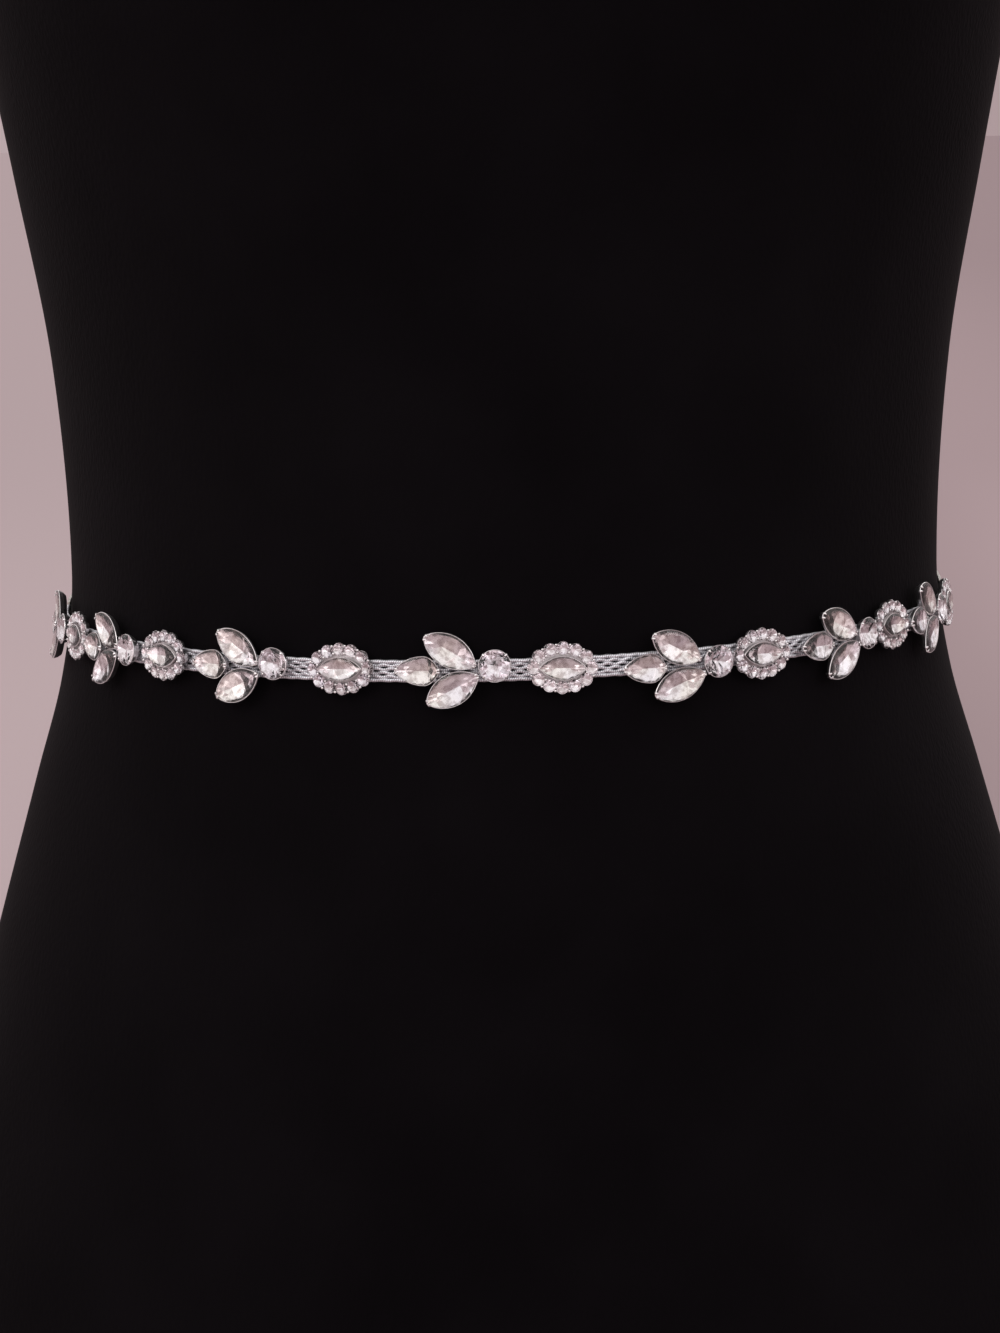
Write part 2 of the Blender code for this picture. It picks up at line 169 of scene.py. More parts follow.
FLOOR_RADIUS, FLOOR_SIDES = 60.0, 96
PAPER_REACH = (-0.35, 1.5)
# The paper's tones carry painted shade: darker towards +X, darkest in a band just right of the form.
PAPER_TONES_WITH_PAINTED_SHADE = (
    # share of the reach along +X, red, green, blue
    (0.0, 0.45, 0.36, 0.371),
    (0.33, 0.31, 0.237, 0.246),
    (0.49, 0.393, 0.3, 0.312),
    (1.0, 0.348, 0.266, 0.277),
)
ROOM_LEFT = (0.486, 0.383, 0.396)
ROOM_RIGHT = (0.42, 0.32, 0.33)
ROOM_ABOVE = (1.02, 0.985, 0.985)
# Between these parts of a unit step towards +X and +Z the room's tone changes.
ROOM_TURN = (-0.08, 0.08)
ROOM_CLIMB = (0.04, 0.24)


def lay_floor():
    """A wide disc of pale paper under the form, with painted shade towards +X."""
    bpy.ops.mesh.primitive_circle_add(vertices=FLOOR_SIDES, radius=FLOOR_RADIUS, fill_type="NGON")
    floor = bpy.context.object
    floor.name = "studio_floor"
    paper, tree, shader = new_material("pale_paper", PAPER_TONES_WITH_PAINTED_SHADE[0][1:], 0.9)
    across = share_along(tree, add_node(tree, "TexCoord").outputs["Object"], "X", PAPER_REACH)
    grain = add_node(tree, "TexNoise", {"Scale": 40.0})
    set_inputs(tree, shader, {
        "Base Color": ramp_colour(tree, across, *PAPER_TONES_WITH_PAINTED_SHADE, easing="EASE"),
        "Normal": relief(tree, grain.outputs["Fac"], 0.03, 0.001),
        "Specular IOR Level": 0.0,
    })
    floor.data.materials.append(paper)


def fill_room():
    """Room light: the paper's own tone at the horizon, white diffusers overhead."""
    world = bpy.data.worlds.new("studio")
    world.use_nodes = True
    tree = world.node_tree
    way = add_node(tree, "TexCoord").outputs["Generated"]
    across = share_along(tree, way, "X", ROOM_TURN)
    horizon = ramp_colour(tree, across, (0.0, *ROOM_LEFT), (1.0, *ROOM_RIGHT))
    climb = share_along(tree, way, "Z", ROOM_CLIMB, "SMOOTHSTEP")
    room = mix_colours(tree, climb, horizon, (*ROOM_ABOVE, 1.0))
    set_inputs(tree, tree.nodes["Background"], {"Color": room})
    scene.world = world


point_camera()
lay_floor()
fill_room()
scene.view_settings.view_transform = "Standard"
WARM_WHITE, COOL_WHITE, CARD_WHITE = (1.0, 0.97, 0.96), (0.97, 0.97, 1.0), (1.0, 0.99, 1.0)
soft_box("key_light", (-1.3, -1.7, 1.5), (0.9, 0.9), 10.0, WARM_WHITE, ("matt", "gloss"))
soft_box("fill_light", (1.6, -1.5, 0.9), (0.5, 0.7), 4.0, COOL_WHITE, ("matt", "gloss"))
soft_box("low_card", (0.0, -1.5, 0.06), (1.8, 0.45), 3.2, CARD_WHITE, ("gloss", "glass"))
for across, power in ((-1.0, 2.5), (0.0, 0.2), (1.0, 1.5)):
    place = (across, -0.6, 0.02)
    table_glow = soft_box("table_glow", place, (1.0, 1.0), power, (1.0, 0.93, 0.94), ("glass",))
    table_glow.rotation_euler = (pi, 0.0, 0.0)
for across, power in ((-1.3, 1.6), (1.3, 0.7)):
    place = (across, -0.35, 0.4)
    soft_box("side_card", place, (1.0, 0.6), power, (1.0, 0.95, 0.955), ("gloss", "glass"))
soft_box("back_light", (0.9, 2.2, 1.6), (0.8, 0.6), 5.0, WARM_WHITE)

# ---- the dress form
# A limbless display torso, moulded in foam and covered in matt black stretch
# jersey that is pulled tight and sewn shut.  It stands on its flat underside,
# and its waist holds the sash in place.
FORM_ROWS = (
    # height, half_width, front, back, roundness, rings
    (0, 160, 122, 106, 2.0, 8),
    (40, 166, 126, 113, 2.0, 8),
    (88, 168, 128.5, 116, 2.0, 8),
    (138, 158.8, 129.5, 106, 2.0, 8),
    (189, 144.8, 129.5, 91, 2.0, 8),
    (233, 132.1, 128.5, 76.5, 2.0, 12),
    (261, 124.1, 128, 69, 2.0, 20),
    (290, 120.4, 128, 66, 2.0, 16),
    (348, 123.8, 129.5, 71, 2.0, 12),
    (398, 132.1, 134, 80, 2.05, 8),
    (432, 137.9, 140.5, 87, 2.15, 8),
    (464, 143.5, 144.5, 93, 2.25, 8),
    (490, 148.7, 141, 96, 2.3, 8),
    (520, 156.5, 130, 97.5, 2.35, 12),
    (562, 168, 108.5, 96, 2.35, 12),
    (596, 172, 88, 89, 2.3, 16),
    (618, 165, 75, 81, 2.2, 12),
    (632, 148, 68, 75, 2.1, 12),
    (650, 104, 61, 67, 2.0, 12),
    (668, 67, 56, 60, 2.0, 12),
    (694, 54.5, 53, 54.5, 2.0, 8),
    (742, 52, 51, 52, 2.0, 4),
)
FORM_SIDES = 180
FORM_EDGE_ROUND = 4.0
SHARP_EDGE = radians(60)
EDGE_RINGS = 4


def smooth_rows(rows, column, place):
    """Read one column of a table at a place, on a smooth curve through it."""
    last = len(rows) - 1
    index = bisect.bisect_left(rows, place, 1, last, key=lambda row: row[0]) - 1

    def slope(at):
        before = rows[max(at - 1, 0)]
        after = rows[min(at + 1, last)]
        return (after[column] - before[column]) / (after[0] - before[0])

    low, high = rows[index], rows[index + 1]
    span = high[0] - low[0]
    share = min(max((place - low[0]) / span, 0.0), 1.0)
    square, cube = share ** 2, share ** 3
    return (
        (2 * cube - 3 * square + 1) * low[column]
        + (cube - 2 * square + share) * span * slope(index)
        + (3 * square - 2 * cube) * high[column]
        + (cube - square) * span * slope(index + 1)
    )


def form_size(height):
    """Half width, front depth, back depth and roundness at a height."""
    return [smooth_rows(FORM_ROWS, column, height) for column in (1, 2, 3, 4)]


def form_point(turn, height, size=None, shrink=0.0):
    """A point of the torso's skin in millimetres: turn 0 is the centre front."""
    half_width, front, back, roundness = size or form_size(height)
    sine, cosine = sin(turn), cos(turn)
    power = 2.0 / roundness
    depth = front if cosine > 0.0 else back
    across = (half_width - shrink) * copysign(abs(sine) ** power, sine)
    forward = (depth - shrink) * copysign(abs(cosine) ** power, cosine)
    return Vector((across, FORM_AXIS - forward, height))


def turns_round(count):
    """Evenly spaced turns of a whole circle."""
    return [tau * side / count for side in range(count)]


def new_mesh(name, points, faces, slots, materials):
    """A mesh from points in millimetres, with a material slot for each face."""
    mesh = bpy.data.meshes.new(name)
    mesh.from_pydata([tuple(point * MM) for point in points], [], faces)
    for material in materials:
        mesh.materials.append(material)
    for face, slot in zip(mesh.polygons, slots):
        if slot:
            face.material_index = slot
    mesh.validate()
    return mesh


def skin(name, loops, closed, materials, uv_step=None, slot=0):
    """Skin equal loops of points, in millimetres, into one closed mesh."""
    sides, count = len(loops[0]), len(loops)
    faces = []
    for index in range(count if closed else count - 1):
        here, there = index * sides, (index + 1) % count * sides
        for side in range(sides):
            after = (side + 1) % sides
            faces.append((here + side, here + after, there + after, there + side))
    if not closed:
        faces.append(tuple(reversed(range(sides))))
        faces.append(tuple(range((count - 1) * sides, count * sides)))
    points = [point for loop in loops for point in loop]
    mesh = new_mesh(name, points, faces, [slot] * len(faces), materials)
    if uv_step:
        layer = mesh.uv_layers.new(name="thread")
        for face in mesh.polygons:
            for corner in face.loop_indices:
                vertex = mesh.loops[corner].vertex_index
                along, side = divmod(vertex, sides)
                if face.index % sides == sides - 1 and side == 0:
                    side = sides
                layer.data[corner].uv = (along * uv_step, side / sides)
    return mesh


def add_piece(name, mesh, node=None, place=Matrix()):
    """Put a mesh in the scene, riding on the part, in place of its solid."""
    piece = bpy.data.objects.new(name, mesh)
    piece.matrix_world = place
    scene.collection.objects.link(piece)
    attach(piece, "root")
    if node:
        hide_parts(node)
    return piece


def make_jersey():
    """Matt black knit: fine wales up the torso, a trace of lint and shade."""
    jersey, tree, shader = new_material("black_jersey", (0.0028, 0.0021, 0.0028), 0.92)
    place = add_node(tree, "TexCoord").outputs["Object"]
    lint = add_node(tree, "TexNoise", {"Vector": place, "Scale": 18.0, "Detail": 4.0})
    deep, faded = (0.35, 0.0022, 0.0016, 0.0022), (0.7, 0.0036, 0.0028, 0.0036)
    tone = ramp_colour(tree, lint.outputs["Fac"], deep, faded)
    stretch = add_node(tree, "Mapping", {"Vector": place, "Scale": (1.0, 1.0, 0.55)})
    knit = add_node(tree, "TexVoronoi", {"Vector": stretch.outputs["Vector"], "Scale": 900.0})
    set_inputs(tree, shader, {
        "Base Color": tone,
        "Normal": relief(tree, knit.outputs["Distance"], 0.35, 0.0003),
        "Specular IOR Level": 0.05,
        "Sheen Weight": 0.008,
        "Sheen Roughness": 0.45,
        "Sheen Tint": (1.0, 0.72, 0.72, 1.0),
    })
    return jersey


def form_loops():
    """Rings from the underside to the top of the neck, with rolled edges."""
    foot, top = FORM_ROWS[0][0], FORM_ROWS[-1][0]
    edge = []
    for step in range(EDGE_RINGS + 1):
        roll = 0.5 * pi * step / EDGE_RINGS
        edge.append((FORM_EDGE_ROUND * (1.0 - sin(roll)), FORM_EDGE_ROUND * (1.0 - cos(roll))))
    rings = [(foot + inset, shrink) for inset, shrink in reversed(edge)]
    for low, high in zip(FORM_ROWS, FORM_ROWS[1:]):
        count = low[5]
        heights = [low[0] + (high[0] - low[0]) * ring / count for ring in range(count)]
        rings += [(at, 0.0) for at in heights if foot + FORM_EDGE_ROUND < at < top - FORM_EDGE_ROUND]
    rings += [(top - inset, shrink) for inset, shrink in edge]
    loops = []
    for height, shrink in rings:
        size = form_size(height)
        loops.append([form_point(turn, height, size, shrink) for turn in turns_round(FORM_SIDES)])
    return loops


form_mesh = skin("covered_form", form_loops(), False, [make_jersey()])
form_mesh.shade_smooth()
form_mesh.set_sharp_from_angle(angle=SHARP_EDGE)
add_piece("covered_form", form_mesh, "dress_form")

# ---- the braid
# The belt's foundation is a flat plait of silver metallic thread, six cords
# wide and 5.6 mm high.  The inner cords part and meet in step, which leaves
# rows of small slits.  Rhinestones in silver cups are stitched all along it.
BELT_LEAN = 1.3
BELT_LINE = 3.3
BELT_SAMPLES = 1440
BRAID_START, BRAID_END = -196.0, 192.0
BRAID_SAMPLE = 0.5
BRAID_LIFT = 1.05
SLIT_PITCH = 3.9
BRAID_CORDS = (
    # rise, wave, half_height, half_thickness, phase
    (-2.27, 0.05, 0.53, 0.5, 0.0),
    (-1.4, 0.2, 0.49, 0.42, 0.5),
    (-0.47, 0.22, 0.48, 0.42, 0.0),
    (0.47, 0.22, 0.48, 0.42, 0.5),
    (1.4, 0.2, 0.49, 0.42, 0.0),
    (2.27, 0.05, 0.53, 0.5, 0.5),
)
CORD_SIDES = 10
CORD_WEAVE = 0.14
CORD_WEAVE_LAG = 0.6
# Handwork: the slits drift from their even pitch by up to so many radians, on
# a slow beat in radians a millimetre, a little later from cord to cord.
SLIT_DRIFT, SLIT_DRIFT_BEAT, SLIT_DRIFT_LAG = 0.7, 0.13, 0.5


def form_frame(turn, height):
    """Point, along, up and outward directions of the torso's skin."""
    nudge = 0.002
    point = form_point(turn, height)
    along = form_point(turn + nudge, height) - form_point(turn - nudge, height)
    rise = form_point(turn, height + 1.0) - form_point(turn, height - 1.0)
    along.normalize()
    outward = along.cross(rise).normalized()
    return point, along, outward.cross(along), outward


def belt_height(turn):
    """Height of the belt's middle line, which leans up towards +X."""
    return BELT_HEIGHT + BELT_LEAN * sin(turn)


def lengths_along(points):
    """The length of a line of points up to each of them."""
    lengths = [0.0]
    for before, after in zip(points, points[1:]):
        lengths.append(lengths[-1] + (after - before).length)
    return lengths


BELT_TURNS = [-pi + tau * step / BELT_SAMPLES for step in range(BELT_SAMPLES + 1)]


def measure_belt_line():
    """Arc length along the belt line, from the centre front, at each of the turns."""
    places = [form_frame(turn, belt_height(turn)) for turn in BELT_TURNS]
    reaches = lengths_along([point + outward * BELT_LINE for point, _, _, outward in places])
    return [reach - reaches[BELT_SAMPLES // 2] for reach in reaches]


BELT_REACHES = measure_belt_line()
HALF_WAIST = BELT_REACHES[-1]


def belt_turn(along):
    """Turn of the form at an arc length along the belt line."""
    high = bisect.bisect_right(BELT_REACHES, along, 1, BELT_SAMPLES)
    reach_low, reach_high = BELT_REACHES[high - 1:high + 1]
    turn_low, turn_high = BELT_TURNS[high - 1:high + 1]
    share = (along - reach_low) / (reach_high - reach_low)
    return turn_low + share * (turn_high - turn_low)


def belt_frame(along, rise=0.0):
    """Skin point and directions at a place on the belt."""
    turn = belt_turn(along)
    return form_frame(turn, belt_height(turn) + rise)


def oval_loop(middle, across, up, half_width, half_height, sides):
    """Points round an oval in the plane of two directions."""
    return [
        middle + across * (half_width * cos(turn)) + up * (half_height * sin(turn))
        for turn in turns_round(sides)
    ]


def make_silver_thread():
    """Metallic yarn: bright, with the fine slanting wraps of its foil strip."""
    thread, tree, shader = new_material("silver_thread", (0.7, 0.69, 0.72), 0.32, 0.75)
    chart = add_node(tree, "UVMap")
    chart.uv_map = "thread"
    wraps = add_node(tree, "TexWave", {
        "Vector": chart.outputs["UV"], "Scale": 1.1, "Distortion": 1.2, "Detail": 2.0,
    })
    wraps.bands_direction = "DIAGONAL"
    tone = ramp_colour(tree, wraps.outputs["Fac"], (0.0, 0.4, 0.39, 0.42), (1.0, 0.86, 0.86, 0.9))
    normal = relief(tree, wraps.outputs["Fac"], 0.6, 0.0001)
    set_inputs(tree, shader, {"Base Color": tone, "Normal": normal})
    return thread


def join_meshes(name, meshes):
    """One mesh from several, each with the same list of materials."""
    joined = bmesh.new()
    for mesh in meshes:
        joined.from_mesh(mesh)
    result = bpy.data.meshes.new(name)
    joined.to_mesh(result)
    joined.free()
    for material in meshes[0].materials:
        result.materials.append(material)
    for mesh in meshes:
        bpy.data.meshes.remove(mesh)
    return result


def plait_cords(material):
    """The six cords of the plait, each one closed tube with rounded sides."""
    steps = round((BRAID_END - BRAID_START) / BRAID_SAMPLE)
    alongs = [BRAID_START + (BRAID_END - BRAID_START) * index / steps for index in range(steps + 1)]
    stations = [(along, belt_frame(along)) for along in alongs]
    meshes = []
    for number, (rise, wave, half_height, half_thick, phase) in enumerate(BRAID_CORDS):
        loops = []
        for along, (point, _, up, outward) in stations:
            beat = tau * (along / SLIT_PITCH + phase)
            beat += SLIT_DRIFT * sin(SLIT_DRIFT_BEAT * along + SLIT_DRIFT_LAG * number)
            lift = BRAID_LIFT + CORD_WEAVE * sin(beat + CORD_WEAVE_LAG * number)
            middle = point + up * (rise + wave * cos(beat)) + outward * lift
            loops.append(oval_loop(middle, up, outward, half_height, half_thick, CORD_SIDES))
        meshes.append(skin("cord_%d" % number, loops, False, [material], uv_step=BRAID_SAMPLE))
    return join_meshes("plaited_braid", meshes)


braid_mesh = plait_cords(make_silver_thread())
braid_mesh.shade_smooth()
add_piece("plaited_braid", braid_mesh, "braid")

# ---- the leaf stones
# Clear navette rhinestones with foiled backs, cut in the brilliant way, lie in
# stamped silver cups, each held by two small prongs at either end.  Three of
# them fan out like leaves, and their cups are stitched to the braid.
STONE_BASE = 2.2
LEAVES = ("leaf_upper", "leaf_lower", "leaf_tail")
SPRAY_ROWS = (
    # along, rise and turn of the round stone and of each leaf
    ((-160.1, 0.5, 0), (-171.0, 4.75, 151), (-170.7, -4.9, 209), (-177.8, -0.1, 180)),
    ((-113.0, 0.5, 0), (-124.05, 4.4, 153), (-123.7, -5.2, 212), (-130.5, -0.6, 180)),
    ((-60.1, 1.3, 0), (-71.1, 4.8, 150), (-70.7, -4.9, 206), (-78.2, 0.0, 180)),
    ((-2.7, 1.6, 0), (-13.7, 5.4, 150), (-13.1, -4.2, 209), (-20.2, 0.5, 180)),
    ((54.2, -0.7, 0), (42.9, 3.7, 152), (43.4, -5.6, 200), (36.1, -1.0, 180)),
    ((105.3, 0.5, 0), (93.9, 4.3, 155), (94.7, -5.1, 210), (87.1, -0.5, 180)),
    ((152.2, 0.5, 0), (141.2, 4.8, 151), (141.5, -4.9, 209), (134.8, -0.2, 180)),
)
# How pointed an end is: 0.5 is a plain oval, 1.0 is needle sharp.
NAVETTE_POINT = 0.85
# The outer and inner half length, the half width and the outer end's point.
LEAF_SHAPE = (7.3, 7.5, 4.05, 0.72)
TAIL_SHAPE = (7.3, 4.1, 3.7, 0.72)
# The girdle's height, the crown's height above it and the pavilion's depth.
LEAF_CUT = (2.0, 0.34, 0.72)
LEAF_POINTS, LEAF_CUP_POINTS = 24, 72
# Crown of a stone at its kites and at its table: share of the outline and
# share of the height above the girdle.
LEAF_CROWN_SHARES = ((0.9, 0.55), (0.76, 1.0))
GIRDLE_WALL = 0.1
KEEL_SHARE = 0.3
# The pavilion's main facets break at a share of the way to the keel line, and
# machine cutting leaves no two of them quite equally deep.
MAIN_SHARE = 0.52
MAIN_DROP = 0.6
MAIN_UNEVEN, MAIN_UNEVEN_BEAT = 0.14, 2.4
# The facets lie flatter towards the two tips, where the stone is narrow.
LEAF_TIP_POWER = 0.4
CUP_WALL = 0.955
CUP_SECTION = (
    # share of the outline, share of the girdle's height, height above that
    (0.58, 0.0, 0.55),
    (0.62, 0.0, 0.0),
    (0.74, 0.0, 0.0),
    (0.91, 0.45, 0.0),
    (0.99, 1.0, -0.15),
    (1.0, 1.0, 0.02),
    (0.985, 1.0, 0.12),
    (0.965, 1.0, 0.12),
    (0.96, 1.0, -0.25),
)
PRONG_HALF_WIDTH = 0.34
PRONG_WALL = 0.26
PRONG_SIDES = 8
PRONG_PATH = (
    # out, height above the girdle, width
    (-0.34, -1.2, 1.0),
    (0.1, 0.0, 1.0),
    (0.02, 0.26, 0.95),
    (-0.3, 0.42, 0.8),
    (-0.62, 0.5, 0.5),
)
# A leaf's prongs, in degrees round it, lean in towards its long axis more than
# towards its middle.
DEGREES = 360
LEAF_PRONGS = (16, 164, 196, 344)
LEAF_PRONG_LEAN = 3.0
GLASS, FOIL, PLATING = 0, 1, 2


def belt_place(along, rise, turn_degrees):
    """Matrix that seats a cup on the braid, in metres."""
    point, right, up, outward = belt_frame(along, rise)
    seat = Matrix((right, up, outward)).transposed().to_4x4()
    seat.translation = (point + outward * STONE_BASE) * MM
    return seat @ Matrix.Rotation(radians(turn_degrees), 4, "Z")


def navette_outline(outer_half, inner_half, half_width, outer_point, points):
    """Pointed oval, anticlockwise; the outer half lies towards +X."""
    outline = []
    for turn in turns_round(points):
        reach = cos(turn)
        half, power = inner_half, NAVETTE_POINT
        if reach > 0.0:
            half, power = outer_half, outer_point
        width = half_width * max(1.0 - reach ** 2, 0.0) ** power
        outline.append((reach * half, copysign(width, sin(turn))))
    return outline


def make_crystal_glass(name, bending):
    """Clear lead-free crystal with a faint warm tint; bending is its refractive index."""
    glass, tree, shader = new_material(name, (0.985, 0.978, 0.98), 0.0)
    set_inputs(tree, shader, {"Transmission Weight": 1.0, "IOR": bending})
    return glass


def make_foil(name, roughness, warmest):
    """Silver foil behind the stone, warm or cool from stone to stone; its dark and light clouds are
    painted reflection of dark and bright facets.
    """
    foil, tree, shader = new_material(name, (0.9, 0.88, 0.89), roughness, 1.0)
    place = add_node(tree, "NewGeometry").outputs["Position"]
    # Dark and light clouds in the foil's colour: painted reflection of dark and bright facets.
    painted_reflection_clouds = add_node(tree, "TexNoise", {"Vector": place, "Scale": 620.0, "Detail": 2.0})
    tone = ramp_colour(tree, painted_reflection_clouds.outputs["Fac"], (0.36, 0.56, 0.51, 0.51), (0.56, 0.9, 0.88, 0.89))
    batch = add_node(tree, "TexNoise", {"Vector": place, "Scale": 90.0})
    tint = ramp_colour(tree, batch.outputs["Fac"], (0.4, *warmest), (0.6, 0.98, 0.97, 1.0))
    tinted = mix_colours(tree, 1.0, tone, tint, "MULTIPLY")
    set_inputs(tree, shader, {"Base Color": tinted})
    return foil


def make_silver():
    """Rhodium-bright plating with soft wear in its roughness."""
    silver, tree, shader = new_material("plated_silver", (0.86, 0.83, 0.83), 0.3, 1.0)
    place = add_node(tree, "TexCoord").outputs["Object"]
    wear = add_node(tree, "TexNoise", {"Vector": place, "Scale": 700.0})
    spread = add_node(tree, "MapRange", {"Value": wear.outputs["Fac"], "To Min": 0.22, "To Max": 0.42})
    set_inputs(tree, shader, {"Roughness": spread.outputs["Result"]})
    return silver


def drawn_in(outline, share, height):
    """An outline drawn in to a share of its size, at a height."""
    return [Vector((share * across, share * up, height)) for across, up in outline]


def cut_stone(name, outline, cut, crown_shares, keel, tip_power, materials):
    """A cut stone: glass crown and girdle over a foiled pavilion.

    It fits inside its cup's outline, which has a multiple of eight points.  The
    crown has kites round a flat table; the pavilion's run to its keel's ends.
    """
    girdle, crown, depth = cut
    outline = [(CUP_WALL * across, CUP_WALL * up) for across, up in outline]
    count = len(outline)
    half = count // 2
    points, faces, slots = [], [], []

    def ring(places):
        points.extend(places)
        return len(points) - len(places)

    def face(slot, *corners):
        faces.append(corners)
        slots.append(slot)

    top = girdle + GIRDLE_WALL
    (kite_share, kite_rise), (table_share, table_rise) = crown_shares
    edge_at = ring(drawn_in(outline, 1.0, girdle))
    rim_at = ring(drawn_in(outline, 1.0, top))
    kite_at = ring(drawn_in(outline[1::2], kite_share, top + crown * kite_rise))
    table_at = ring(drawn_in(outline[0::2], table_share, top + crown * table_rise))
    ends = [keel * outline[0][0], keel * outline[half][0]]
    widest = max(up for _, up in outline)
    keel_at = ring([Vector((end, 0.0, girdle - depth)) for end in ends])
    mains = []
    for index in range(half):
        across, up = outline[2 * index + 1]
        end = ends[0] if across > 0.0 else ends[1]
        drop = depth * MAIN_DROP * (1.0 + MAIN_UNEVEN * sin(MAIN_UNEVEN_BEAT * index + 1.0))
        drop *= (abs(up) / widest) ** tip_power
        inward = across + (end - across) * MAIN_SHARE
        mains.append(Vector((inward, up * (1.0 - MAIN_SHARE), girdle - drop)))
    main_at = ring(mains)
    for index in range(count):
        after = (index + 1) % count
        face(GLASS, edge_at + index, edge_at + after, rim_at + after, rim_at + index)
    for index in range(half):
        left, middle, right = 2 * index, 2 * index + 1, (2 * index + 2) % count
        this_kite, before_kite = kite_at + index, kite_at + (index - 1) % half
        this_table, next_table = table_at + index, table_at + (index + 1) % half
        face(GLASS, rim_at + left, rim_at + middle, this_kite)
        face(GLASS, rim_at + middle, rim_at + right, this_kite)
        face(GLASS, this_table, this_kite, next_table)
        face(GLASS, rim_at + left, this_kite, this_table, before_kite)
        this_main, before_main = main_at + index, main_at + (index - 1) % half
        face(FOIL, edge_at + middle, edge_at + left, this_main)
        face(FOIL, edge_at + right, edge_at + middle, this_main)
        here = keel_at if outline[middle][0] > 0.0 else keel_at + 1
        before = keel_at if outline[left - 1][0] > 0.0 else keel_at + 1
        if here == before:
            face(FOIL, this_main, edge_at + left, before_main, here)
        else:
            face(FOIL, this_main, edge_at + left, before_main, before, here)
    face(GLASS, *range(table_at, table_at + half))
    return new_mesh(name, points, faces, slots, materials)


def stamped_cup(name, outline, girdle, materials):
    """A stone's cup: outer wall, rim and hollow inside."""
    loops = [drawn_in(outline, share, part * girdle + rise) for share, part, rise in CUP_SECTION]
    return skin(name, loops, True, materials, slot=PLATING)


def prong(name, place, inward, girdle, materials):
    """A small prong: a tongue up the cup's side, pressed over the stone's edge."""
    inward = Vector((*inward, 0.0)).normalized()
    side = Vector((-inward.y, inward.x, 0.0))
    loops = []
    for index, (out, height, width) in enumerate(PRONG_PATH):
        before = PRONG_PATH[max(index - 1, 0)]
        after = PRONG_PATH[min(index + 1, len(PRONG_PATH) - 1)]
        run = Vector((after[0] - before[0], after[1] - before[1])).normalized()
        middle = Vector((*place, girdle + height)) - inward * out
        deep = -inward * run.y - Vector((0.0, 0.0, run.x))
        half_width = PRONG_HALF_WIDTH * width
        loops.append(oval_loop(middle, side, deep, half_width, 0.5 * PRONG_WALL, PRONG_SIDES))
    mesh = skin(name, loops, False, materials, slot=PLATING)
    mesh.shade_smooth()
    return mesh


def set_navette(name, shape, cut, prongs):
    """A navette stone in its cup with its prongs, as one mesh."""
    girdle = cut[0]
    line, cup_line = navette_outline(*shape, LEAF_POINTS), navette_outline(*shape, LEAF_CUP_POINTS)
    meshes = [
        cut_stone(name, line, cut, LEAF_CROWN_SHARES, KEEL_SHARE, LEAF_TIP_POWER, LEAF_MATERIALS),
        stamped_cup(name, cup_line, girdle, LEAF_MATERIALS),
    ]
    around = navette_outline(*shape, DEGREES)
    for degrees in prongs:
        across, up = around[degrees]
        inward = (-across, -LEAF_PRONG_LEAN * up)
        meshes.append(prong(name, (across, up), inward, girdle, LEAF_MATERIALS))
    return join_meshes(name, meshes)


plated_silver = make_silver()
leaf_crystal = make_crystal_glass("leaf_crystal", 1.36)
leaf_foil = make_foil("leaf_foil", 0.15, (1.0, 0.985, 0.935))
LEAF_MATERIALS = [leaf_crystal, leaf_foil, plated_silver]
leaf_mesh = set_navette("set_leaf", LEAF_SHAPE, LEAF_CUT, LEAF_PRONGS)
tail_mesh = set_navette("set_tail_leaf", TAIL_SHAPE, LEAF_CUT, LEAF_PRONGS)
for number, row in enumerate(SPRAY_ROWS, 1):
    for leaf, mesh, place in zip(LEAVES, (leaf_mesh, leaf_mesh, tail_mesh), row[1:]):
        node = "spray_%d_%s" % (number, leaf)
        add_piece("set_" + node, mesh, node, belt_place(*place))

# ---- the round stones
# One round rhinestone closes each spray where the leaves meet.  It is a
# brilliant with eight-fold facets and a foiled back, held in a silver cup by
# four small prongs, and the cup is stitched to the braid.
ROUND_RADIUS = 4.1
# Girdle, crown and pavilion, as for the leaves.
ROUND_CUT = (2.2, 0.95, 1.6)
ROUND_POINTS, ROUND_CUP_POINTS = 16, 48
ROUND_PRONGS = 4
ROUND_CROWN_SHARES = ((0.88, 0.52), (0.72, 1.0))
CULET_SHARE = 0.03
ROUND_TIP_POWER = 0.0


def round_outline(radius, points):
    """Regular outline of a round stone."""
    turns = [tau * (side + 0.5) / points for side in range(points)]
    return [(radius * cos(turn), radius * sin(turn)) for turn in turns]


def round_in_cup(name, radius, cut, cup_height, cup_points, materials):
    """A round stone and the cup that it sits in, as two meshes."""
    line, cup_line = round_outline(radius, ROUND_POINTS), round_outline(radius, cup_points)
    return [
        cut_stone(name, line, cut, ROUND_CROWN_SHARES, CULET_SHARE, ROUND_TIP_POWER, materials),
        stamped_cup(name, cup_line, cup_height, materials),
    ]


def set_round(name):
    """A round stone in its cup with its prongs, as one mesh."""
    girdle = ROUND_CUT[0]
    meshes = round_in_cup(name, ROUND_RADIUS, ROUND_CUT, girdle, ROUND_CUP_POINTS, ROUND_MATERIALS)
    for across, up in round_outline(ROUND_RADIUS, ROUND_PRONGS):
        meshes.append(prong(name, (across, up), (-across, -up), girdle, ROUND_MATERIALS))
    return join_meshes(name, meshes)


round_crystal = make_crystal_glass("round_crystal", 1.42)
round_foil = make_foil("round_foil", 0.06, (1.0, 0.98, 0.985))
ROUND_MATERIALS = [round_crystal, round_foil, plated_silver]
round_mesh = set_round("set_round")
for number, row in enumerate(SPRAY_ROWS, 1):
    node = "spray_%d_round" % number
    add_piece("set_" + node, round_mesh, node, belt_place(*row[0]))

